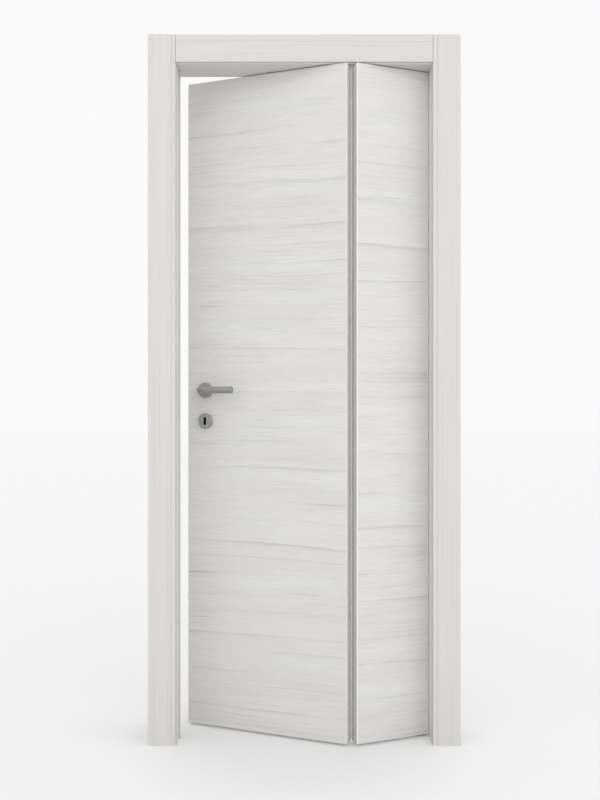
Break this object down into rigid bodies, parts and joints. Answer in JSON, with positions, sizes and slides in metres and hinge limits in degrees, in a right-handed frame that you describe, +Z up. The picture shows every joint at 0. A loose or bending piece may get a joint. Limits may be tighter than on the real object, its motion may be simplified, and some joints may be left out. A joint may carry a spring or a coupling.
{
  "type": "folding interior door",
  "caption": "Asymmetric folding door in a jamb frame with casings: a wide leaf hinged to a narrow pivoting leaf and guided by a trolley in a top track, with lever handle and key lock.",
  "frame": {"origin": "on the floor, midway between the jambs, in the plane of the wall's front face", "axes": "+X to the pivot side of the opening, +Y through the wall away from the lever side that the fold comes out of, +Z up"},
  "size_m": [0.9755, 0.2541, 2.187],
  "materials": {
    "casing_laminate": "matt white-washed wood-grain laminate, grain upright",
    "jamb_laminate": "matt white-washed wood-grain laminate, grain upright",
    "leaf_laminate": "matt white-washed wood-grain laminate, grain across",
    "edge_band": "matt white-washed edge strip",
    "softwood": "planed softwood",
    "chipboard": "raw tubular chipboard",
    "gasket_rubber": "pale grey soft seal",
    "track_aluminium": "white-coated profile",
    "hinge_aluminium": "pale coated profile",
    "fitting_nylon": "white moulded nylon",
    "zinc_steel": "zinc-plated steel",
    "screw_steel": "zinc-plated steel",
    "satin_metal": "satin nickel"
  },
  "bodies": {
    "frame": {"left_jamb": "jamb_laminate", "right_jamb": "jamb_laminate", "head_jamb": "jamb_laminate", "left_stop": "jamb_laminate", "front_left_casing": "casing_laminate", "front_right_casing": "casing_laminate", "front_head_casing": "casing_laminate", "rear_left_casing": "casing_laminate", "rear_right_casing": "casing_laminate", "rear_head_casing": "casing_laminate", "strike_gasket": "gasket_rubber", "top_track": "track_aluminium", "track_stops": "gasket_rubber", "top_pivot_socket": "fitting_nylon", "bottom_pivot_bracket": "zinc_steel", "strike_plate": "zinc_steel", "hardware_screws": "screw_steel", "corner_screws": "screw_steel"},
    "narrow_leaf": {"narrow_front_skin": "leaf_laminate", "narrow_rear_skin": "leaf_laminate", "narrow_stiles": "softwood", "narrow_rails": "softwood", "narrow_core": "chipboard", "narrow_edge_bands": "edge_band", "pivot_housings": "fitting_nylon", "bottom_pivot_pin": "zinc_steel", "top_pivot_pin": "zinc_steel", "narrow_hinge_leaf": "hinge_aluminium", "hinge_pin": "zinc_steel", "narrow_hinge_screws": "screw_steel"},
    "wide_leaf": {"wide_front_skin": "leaf_laminate", "wide_rear_skin": "leaf_laminate", "wide_stiles": "softwood", "wide_rails": "softwood", "wide_core": "chipboard", "wide_edge_bands": "edge_band", "lock_block": "softwood", "wide_hinge_leaf": "hinge_aluminium", "wide_hinge_screws": "screw_steel", "guide_housing": "fitting_nylon", "lock_case": "zinc_steel", "lock_cover": "zinc_steel", "lock_faceplate": "zinc_steel", "faceplate_screws": "screw_steel", "front_rose": "satin_metal", "rear_rose": "satin_metal", "front_key_rose": "satin_metal", "rear_key_rose": "satin_metal", "rose_bolts": "screw_steel"},
    "trolley": {"trolley_body": "zinc_steel", "trolley_pin": "zinc_steel"},
    "left_wheels": {"left_wheelset": "fitting_nylon"},
    "right_wheels": {"right_wheelset": "fitting_nylon"},
    "lever_set": {"front_lever": "satin_metal", "rear_lever": "satin_metal", "spindle": "zinc_steel", "follower": "zinc_steel"},
    "latch": {"latch_bolt": "zinc_steel"},
    "lock_bolt": {"deadbolt": "zinc_steel"}
  },
  "joints": [
    {"name": "narrow_swing", "type": "hinge", "parent": "frame", "child": "narrow_leaf", "pos_m": [0.349, 0.07, 0], "axis": [0, 0, 1], "range_deg": [-19.5, 66.5]},
    {"name": "fold_hinge", "type": "hinge", "parent": "narrow_leaf", "child": "wide_leaf", "pos_m": [0.14607, 0.01935, 0], "axis": [0, 0, 1], "range_deg": [-133, 39]},
    {"name": "trolley_turn", "type": "hinge", "parent": "wide_leaf", "child": "trolley", "pos_m": [-0.05687, 0.07, 2.1], "axis": [0, 0, 1], "range_deg": [-19.5, 66.5]},
    {"name": "left_wheel_turn", "type": "hinge", "parent": "trolley", "child": "left_wheels", "pos_m": [-0.07087, 0.07, 2.1079], "axis": [0, 1, 0], "continuous": true},
    {"name": "right_wheel_turn", "type": "hinge", "parent": "trolley", "child": "right_wheels", "pos_m": [-0.04287, 0.07, 2.1079], "axis": [0, 1, 0], "continuous": true},
    {"name": "lever_turn", "type": "hinge", "parent": "wide_leaf", "child": "lever_set", "pos_m": [-0.31242, 0.16049, 1.095], "axis": [0.3338, 0.9426, 0], "range_deg": [0, 40], "stiffness_Nm_per_rad": 1, "springref_deg": -51.57},
    {"name": "latch_slide", "type": "slide", "parent": "wide_leaf", "child": "latch", "axis": [0.9426, -0.3338, 0], "range_m": [-0.01, 0], "stiffness_N_per_m": 100, "springref_m": 0.008},
    {"name": "deadbolt_slide", "type": "slide", "parent": "wide_leaf", "child": "lock_bolt", "axis": [-0.9426, 0.3338, 0], "range_m": [0, 0.014]}
  ],
  "couplings": [
    {"joint": "fold_hinge", "follows": "narrow_swing", "ratio": -2},
    {"joint": "trolley_turn", "follows": "narrow_swing", "ratio": 1}
  ]
}
